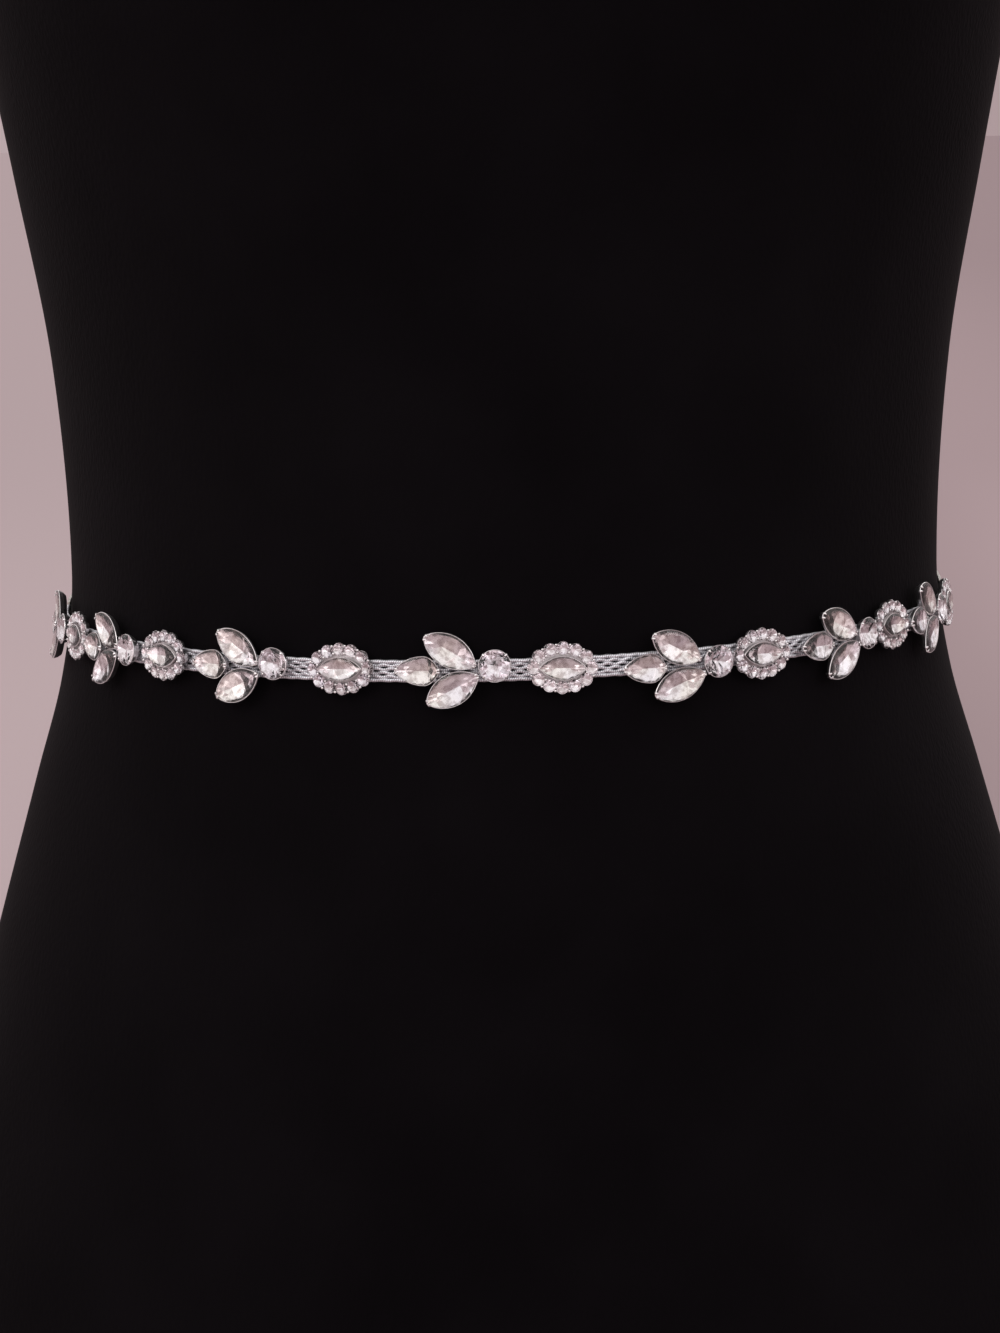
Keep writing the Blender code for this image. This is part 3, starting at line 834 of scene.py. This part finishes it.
# ---- the rosettes
# Twelve small round rhinestones in linked silver cups make an oval ring
# round a navette stone.  Beads of plating between the cups hold the stones.
# The whole rosette is stitched to the braid through its links.
ROSETTE_ROWS = (
    # along, rise, turn
    (-146.9, 0.3, 0),
    (-97.7, 0.6, 0),
    (-41.7, 0.6, 3),
    (13.9, 0.4, -2),
    (67.5, -0.2, -2),
    (118.5, 1.0, -4),
    (165.5, 0.5, 0),
)
RING_STONES = 12
ROSETTE_HALF_LENGTH = 7.2
ROSETTE_HALF_HEIGHT = 4.9
OVAL_SAMPLES = 720
SMALL_RADIUS = 1.64
SMALL_CUT = (1.25, 0.45, 0.5)
SMALL_CUP_HEIGHT, SMALL_CUP_POINTS = 1.1, 32
BEAD_RADIUS = 0.36
BEAD_HEIGHT = 1.45
BEAD_OUT = 0.95
BEAD_RINGS = 6
BEAD_SIDES = 8
PLATE_POINTS = 48
PLATE_SECTION = (
    # share of the oval, height
    (0.86, 0.55),
    (0.98, 0.55),
    (1.0, 0.35),
    (0.98, 0.15),
    (0.86, 0.15),
)
PLATE = 3
CENTRE_SHAPE = (5.9, 5.9, 3.0, NAVETTE_POINT)
CENTRE_CUT = (1.95, 0.32, 0.58)
RIGHT, UP = Vector((1.0, 0.0, 0.0)), Vector((0.0, 1.0, 0.0))


def oval_stations(count):
    """Evenly spaced points round the rosette's oval with their outward directions."""
    long, high = ROSETTE_HALF_LENGTH, ROSETTE_HALF_HEIGHT
    turns = [tau * step / OVAL_SAMPLES for step in range(OVAL_SAMPLES + 1)]
    points = [Vector((long * sin(turn), high * cos(turn))) for turn in turns]
    reaches = lengths_along(points)
    stations = []
    for station in range(count):
        at = bisect.bisect_left(reaches, reaches[-1] * station / count, 1) - 1
        outward = Vector((high * sin(turns[at]), long * cos(turns[at])))
        stations.append((points[at], outward.normalized()))
    return stations


def prong_bead(name, place):
    """A small round bead of plating that grips two neighbouring stones."""
    loops = []
    for ring in range(1, BEAD_RINGS):
        roll = pi * ring / BEAD_RINGS
        around = BEAD_RADIUS * sin(roll)
        middle = Vector((*place, BEAD_HEIGHT - BEAD_RADIUS * cos(roll)))
        loops.append(oval_loop(middle, RIGHT, UP, around, around, BEAD_SIDES))
    mesh = skin(name, loops, False, RING_MATERIALS, slot=PLATING)
    mesh.shade_smooth()
    return mesh


def make_plate_painted_shade():
    """Thin back plate: plating left unpolished, darker in its pits, and darkened all over as painted shade
    between the cups.
    """
    plate, tree, shader = new_material("plate_painted_shade", (0.52, 0.49, 0.5), 0.5, 1.0)
    place = add_node(tree, "TexCoord").outputs["Object"]
    pits = add_node(tree, "TexNoise", {"Vector": place, "Scale": 900.0})
    # Its tones are far darker than the cups' plating: painted shade of the recess between the cups and
    # beads.
    tone = ramp_colour(tree, pits.outputs["Fac"], (0.0, 0.38, 0.355, 0.36), (1.0, 0.66, 0.62, 0.63))
    set_inputs(tree, shader, {"Base Color": tone})
    return plate


def back_plate(name):
    """The thin oval plate that the cups of a rosette are soldered to."""
    oval = [middle for middle, _ in oval_stations(PLATE_POINTS)]
    loops = [drawn_in(oval, share, height) for share, height in PLATE_SECTION]
    return skin(name, loops, False, RING_MATERIALS, slot=PLATE)


def small_stone_ring(name):
    """The twelve small stones with their cups and prong beads, as one mesh."""
    meshes = [back_plate(name)]
    for index, (middle, outward) in enumerate(oval_stations(2 * RING_STONES)):
        if index % 2 == 0:
            pair = round_in_cup(
                name, SMALL_RADIUS, SMALL_CUT, SMALL_CUP_HEIGHT, SMALL_CUP_POINTS, RING_MATERIALS
            )
            seat = Matrix.Translation((middle.x * MM, middle.y * MM, 0.0))
            seat = seat @ Matrix.Rotation(atan2(outward.y, outward.x), 4, "Z")
            for mesh in pair:
                mesh.transform(seat)
            meshes += pair
        else:
            for out in (-BEAD_OUT, BEAD_OUT):
                meshes.append(prong_bead(name, middle + outward * out))
    return join_meshes(name, meshes)


RING_MATERIALS = ROUND_MATERIALS + [make_plate_painted_shade()]
ring_mesh = small_stone_ring("small_stone_ring")
centre_mesh = set_navette("centre_navette", CENTRE_SHAPE, CENTRE_CUT, ())
for number, row in enumerate(ROSETTE_ROWS, 1):
    seat = belt_place(*row)
    ring_node, centre_node = "rosette_%d_ring" % number, "rosette_%d_centre" % number
    add_piece("set_" + ring_node, ring_mesh, ring_node, seat)
    add_piece("set_" + centre_node, centre_mesh, centre_node, seat)

# ---- the ribbon ties
# A length of 12 mm double-face satin ribbon runs from each end of the braid
# round to the centre back.  It is folded narrower where it is sewn under the
# braid and where it goes into the knot, and its woven edges are a bit thicker.
RIBBON_HALF_WIDTH = 6.0
RIBBON_WALL = 0.4
RIBBON_LIFT = 0.95
RIBBON_EDGE, RIBBON_EDGE_POINTS = 0.12, 2
RIBBON_ACROSS = 20
TIE_STEPS = 220
SEAM_GAP = 0.3
KNOT_HALF = 8.6
TIE_ROWS = (
    # share, width, fold
    (0.0, 0.56, 0.42),
    (0.1, 0.88, 0.22),
    (0.25, 1.0, 0.0),
    (0.72, 1.0, 0.0),
    (0.9, 0.86, 0.3),
    (1.0, 0.62, 0.55),
)
TIE_CREASES = (
    # depth, beat along in radians a millimetre, beat across, share of the seed
    (0.16, 0.11, 2.3, 1.0),
    (0.1, 0.31, -3.1, 2.0),
)


def make_satin():
    """Ivory satin: long floats across the weave, a soft sheen, and lighter and darker streaks of painted
    sheen in its colour.
    """
    satin, tree, shader = new_material("ivory_satin", (0.6, 0.55, 0.5), 0.28)
    chart = add_node(tree, "UVMap")
    chart.uv_map = "cloth"
    stretch = add_node(tree, "Mapping", {"Vector": chart.outputs["UV"], "Scale": (14.0, 2.2, 1.0)})
    painted_sheen_streaks = add_node(tree, "TexNoise", {"Vector": stretch.outputs["Vector"], "Scale": 1.0, "Detail": 3.0})
    # Lighter and darker streaks in the satin's colour: painted sheen.
    tone = ramp_colour(tree, painted_sheen_streaks.outputs["Fac"], (0.3, 0.5, 0.45, 0.4), (0.7, 0.66, 0.61, 0.56))
    ribs = add_node(tree, "TexWave", {"Vector": chart.outputs["UV"], "Scale": 1.6, "Distortion": 0.6})
    set_inputs(tree, shader, {
        "Base Color": tone,
        "Normal": relief(tree, ribs.outputs["Fac"], 0.25, 0.00005),
        "Sheen Weight": 0.25,
        "Sheen Roughness": 0.35,
        "Anisotropic": 0.5,
    })
    return satin


def cloth_strip(name, rows):
    """A closed shell from rows of (point, outward) pairs, with a chart in millimetres."""
    loops = []
    for row in rows:
        outer, inner = [], []
        last = len(row) - 1
        for index, (point, outward) in enumerate(row):
            woven_edge = min(index, last - index) < RIBBON_EDGE_POINTS
            half = 0.5 * RIBBON_WALL + (RIBBON_EDGE if woven_edge else 0.0)
            outer.append(point + outward * half)
            inner.append(point - outward * half)
        loops.append(outer + inner[::-1])
    mesh = skin(name, loops, False, [satin])
    layer = mesh.uv_layers.new(name="cloth")
    sides = len(loops[0])
    reach = lengths_along([row[len(row) // 2][0] for row in rows])
    spacing = 2 * RIBBON_HALF_WIDTH / (sides // 2 - 1)
    for corner in mesh.loops:
        along, side = divmod(corner.vertex_index, sides)
        across = side if side < sides // 2 else sides - 1 - side
        layer.data[corner.index].uv = (reach[along], across * spacing)
    mesh.shade_smooth()
    mesh.set_sharp_from_angle(angle=SHARP_EDGE)
    return mesh, reach[-1]


def side_to_side(steps):
    """Evenly spaced places from -1 to 1."""
    return [2.0 * step / steps - 1.0 for step in range(steps + 1)]


def two_folds(reach):
    """Relief of two soft folds, from -1 to 1 across the ribbon."""
    return 0.5 - 0.5 * cos(tau * reach)


def tie_rows(start, finish, seed):
    """Rows across one tie, with its end folds and a few soft creases."""
    rows = []
    for index in range(TIE_STEPS + 1):
        share = index / TIE_STEPS
        along = start + (finish - start) * share
        half = RIBBON_HALF_WIDTH * smooth_rows(TIE_ROWS, 1, share)
        fold = smooth_rows(TIE_ROWS, 2, share)
        row = []
        for reach in side_to_side(RIBBON_ACROSS):
            point, _, _, outward = belt_frame(along, reach * half)
            crease = fold * two_folds(reach)
            for depth, beat_along, beat_across, shift in TIE_CREASES:
                crease += depth * sin(beat_along * along + beat_across * reach + shift * seed)
            row.append((point + outward * (RIBBON_LIFT + crease), outward))
        rows.append(row)
    return rows


def add_ribbon(node, rows):
    """One length of ribbon, in place of its solid."""
    mesh, length = cloth_strip("satin_" + node, rows)
    ribbon = add_piece("satin_" + node, mesh, node)


satin = make_satin()
tie_end = HALF_WAIST - KNOT_HALF - SEAM_GAP
add_ribbon("ribbon_right", tie_rows(BRAID_END + SEAM_GAP, tie_end, 0.4))
add_ribbon("ribbon_left", tie_rows(BRAID_START - SEAM_GAP, -tie_end, 1.9))

# ---- the seam stitches
# Each tie is sewn by hand to the end of the braid.  Five short stitches of
# ivory thread pass over the joint and go down into the cloth at both ends.
STITCHES = (
    # rise, slant
    (-2.3, 0.25),
    (-1.2, 0.12),
    (0.0, 0.3),
    (1.1, 0.08),
    (2.2, 0.22),
)
STITCH_HALF = 1.5
STITCH_STEPS = 10
STITCH_TOP = 1.95
STITCH_FOOT = 1.0
THREAD_RADIUS = 0.14
THREAD_SIDES = 8


def make_sewing_thread():
    """Ivory polyester thread: two twisted plies that show as slanting bands."""
    thread, tree, shader = new_material("sewing_thread", (0.62, 0.58, 0.53), 0.5)
    chart = add_node(tree, "UVMap")
    chart.uv_map = "thread"
    plies = add_node(tree, "TexWave", {"Vector": chart.outputs["UV"], "Scale": 1.4})
    plies.bands_direction = "DIAGONAL"
    tone = ramp_colour(tree, plies.outputs["Fac"], (0.0, 0.44, 0.4, 0.36), (1.0, 0.66, 0.62, 0.57))
    set_inputs(tree, shader, {"Base Color": tone})
    return thread


def seam_stitches(name, joint):
    """The stitches over one joint, each a closed tube that arches over it."""
    meshes = []
    for rise, slant in STITCHES:
        loops = []
        for reach in side_to_side(STITCH_STEPS):
            lift = STITCH_TOP - (STITCH_TOP - STITCH_FOOT) * reach ** 4
            point, _, up, outward = belt_frame(joint + reach * STITCH_HALF, rise + slant * reach)
            middle = point + outward * lift
            loops.append(oval_loop(middle, up, outward, THREAD_RADIUS, THREAD_RADIUS, THREAD_SIDES))
        meshes.append(skin(name, loops, False, [sewing_thread], 2 * STITCH_HALF / STITCH_STEPS))
    joined = join_meshes(name, meshes)
    joined.shade_smooth()
    return joined


sewing_thread = make_sewing_thread()
for side, joint in (("right", BRAID_END + 0.5 * SEAM_GAP), ("left", BRAID_START - 0.5 * SEAM_GAP)):
    name = "seam_stitches_" + side
    add_piece(name, seam_stitches(name, joint))

# ---- the knot
# The two ties cross and are pulled into one plain knot at the centre back: the
# gathered ribbon swells to both sides of a band that is wrapped round it from
# top to bottom, with soft creases running out from under the band.
KNOT_ROWS = (
    # along, half_height, depth
    (-KNOT_HALF, 3.9, 2.6),
    (-6.6, 6.0, 4.6),
    (-3.0, 7.2, 5.8),
    (0.6, 6.9, 5.4),
    (4.0, 7.1, 5.9),
    (6.8, 5.8, 4.4),
    (KNOT_HALF, 3.9, 2.6),
)
KNOT_LIFT = 0.6
KNOT_CLOTH = 0.5
KNOT_SIDES = 72
KNOT_STEPS = 60
KNOT_INSET = 0.15
KNOT_SHARP_EDGE = radians(70)
# The band pinches the gathered ribbon over this reach to each side of it.
PINCH_DEPTH, PINCH_REACH = 1.1, 3.4
CREASE_DEPTH = 0.64
CREASE_COUNT, CREASE_SLANT, CREASE_WANDER = 9.0, 0.22, 0.8
BAND_HALF = 3.6
BAND_STEPS = 12
BAND_LEAN = 0.9
BAND_FOLD, BAND_FOLD_BEAT, BAND_FOLD_LEAN = 0.16, 3.0 * pi, 0.5
BAND_ROUND = 0.75
BAND_OUTER, BAND_INNER = 0.16, 0.7
# The centre back, a hair before the belt line's two ends meet.
BACK_CENTRE = HALF_WAIST - 0.01


def knot_point(along, turn, shrink):
    """A point of the knot's skin: turn 0 faces the form, pi faces out."""
    half_height = smooth_rows(KNOT_ROWS, 1, along) - shrink
    depth = smooth_rows(KNOT_ROWS, 2, along) - KNOT_CLOTH - shrink
    rise = half_height * sin(turn)
    lift = KNOT_LIFT + 0.5 * depth * (1.0 - cos(turn))
    point, _, _, outward = belt_frame(BACK_CENTRE + along)
    return point + Vector((0.0, 0.0, rise)) + outward * lift


def gathered_body():
    """The gathered ribbon on both sides of the band, creased towards it."""
    loops = []
    for reach in side_to_side(KNOT_STEPS):
        along = KNOT_HALF * reach
        pinch = PINCH_DEPTH * exp(-(along / PINCH_REACH) ** 2)
        loop = []
        for turn in turns_round(KNOT_SIDES):
            wander = CREASE_SLANT * along + CREASE_WANDER * sin(2.0 * turn)
            crease = 0.5 + 0.5 * cos(CREASE_COUNT * turn + wander)
            crease *= CREASE_DEPTH * abs(sin(0.5 * turn))
            loop.append(knot_point(along, turn, KNOT_INSET + pinch + crease))
        loops.append(loop)
    return skin("knot_body", loops, False, [satin])


def wrapped_band():
    """The band round the middle: a folded strip that leans a little."""
    loops = []
    for turn in turns_round(KNOT_SIDES):
        outer, inner = [], []
        for reach in side_to_side(BAND_STEPS):
            along = BAND_LEAN * sin(turn) + reach * BAND_HALF
            fold = BAND_FOLD * cos(BAND_FOLD_BEAT * reach + BAND_FOLD_LEAN * sin(turn))
            shrink = BAND_ROUND * reach ** 4 - fold
            outer.append(knot_point(along, turn, BAND_OUTER + shrink))
            inner.append(knot_point(along, turn, BAND_INNER + shrink))
        loops.append(outer + inner[::-1])
    return skin("knot_band", loops, True, [satin])


knot_mesh = join_meshes("satin_knot", [gathered_body(), wrapped_band()])
layer = knot_mesh.uv_layers.new(name="cloth")
for corner in knot_mesh.loops:
    at = knot_mesh.vertices[corner.vertex_index].co / MM
    layer.data[corner.index].uv = (at.x, at.z)
knot_mesh.shade_smooth()
knot_mesh.set_sharp_from_angle(angle=KNOT_SHARP_EDGE)
knot = add_piece("satin_knot", knot_mesh, "knot")

# ---- the hanging ends
# Below the knot the two ends of the ribbon hang down the back of the form and
# fall plumb past the hips.  Each is cut on a slant and sealed at the edge.
HIP_HEIGHT = 88.0
TAIL_ROWS = (
    # name, start, finish, drop, slant, sway
    ("tail_left", -3.4, -27.0, 232.0, 7.0, -2.5),
    ("tail_right", 3.4, 21.0, 216.0, 7.0, 2.0),
)
TAIL_TOP_DROP = 7.0
TAIL_STEPS = 260
TAIL_SPLAY = 0.8
# Under the knot an end is gathered to a share of its width in two folds and
# stands off the form, and it lies open after a share of its length.
TAIL_GATHER = 0.45
TAIL_FOLD = 1.2
TAIL_STAND = 0.9
TAIL_OPEN = 0.22
# Long soft waves where it lies open, and shallow creases from end to end.
TAIL_WAVE, TAIL_WAVE_ALONG, TAIL_WAVE_ACROSS = 0.22, 0.075, 1.7
TAIL_CREASE, TAIL_CREASE_ALONG, TAIL_CREASE_ACROSS = 0.1, 0.21, -2.6


def back_depth(across, height):
    """Depth of the form behind its axis, at a distance to the side."""
    half_width, _, back, roundness = form_size(height)
    share = abs(across / half_width) ** roundness
    return back * (1.0 - share) ** (1.0 / roundness)


def hang_point(across, height):
    """Skin point and outward direction behind the form: plumb below the hips."""
    rest_height = max(height, HIP_HEIGHT)
    slope_across = (back_depth(across + 1.0, rest_height) - back_depth(across - 1.0, rest_height)) / 2.0
    slope_up = 0.0
    if height > HIP_HEIGHT:
        slope_up = (back_depth(across, height + 1.0) - back_depth(across, height - 1.0)) / 2.0
    outward = Vector((-slope_across, 1.0, -slope_up)).normalized()
    return Vector((across, FORM_AXIS + back_depth(across, rest_height), height)), outward


def opened(share):
    """How far a hanging end has opened: 0 at the knot, 1 where it lies flat."""
    reach = min(share / TAIL_OPEN, 1.0)
    return reach ** 2 * (3.0 - 2.0 * reach)


def tail_rows(start, finish, drop, slant, sway):
    """Rows across one hanging end, from the knot to its slanted cut."""
    rows = []
    outer_side = copysign(1.0, finish)
    for index in range(TAIL_STEPS + 1):
        share = index / TAIL_STEPS
        middle = start + (finish - start) * share ** TAIL_SPLAY + sway * sin(tau * share)
        flat = opened(share)
        half = RIBBON_HALF_WIDTH * (TAIL_GATHER + (1.0 - TAIL_GATHER) * flat)
        row = []
        for reach in side_to_side(RIBBON_ACROSS):
            lower = slant * reach * outer_side * share ** 4
            down = TAIL_TOP_DROP + (drop - TAIL_TOP_DROP) * share + lower
            point, outward = hang_point(middle + half * reach, BELT_HEIGHT - down)
            gathered = TAIL_STAND + TAIL_FOLD * two_folds(reach)
            wave = TAIL_WAVE * sin(TAIL_WAVE_ALONG * down + TAIL_WAVE_ACROSS * reach + start)
            crease = TAIL_CREASE * sin(TAIL_CREASE_ALONG * down + TAIL_CREASE_ACROSS * reach)
            lift = RIBBON_LIFT + (1.0 - flat) * gathered + flat * wave + crease
            row.append((point + outward * lift, outward))
        rows.append(row)
    return rows


for name, *course in TAIL_ROWS:
    add_ribbon(name, tail_rows(*course))
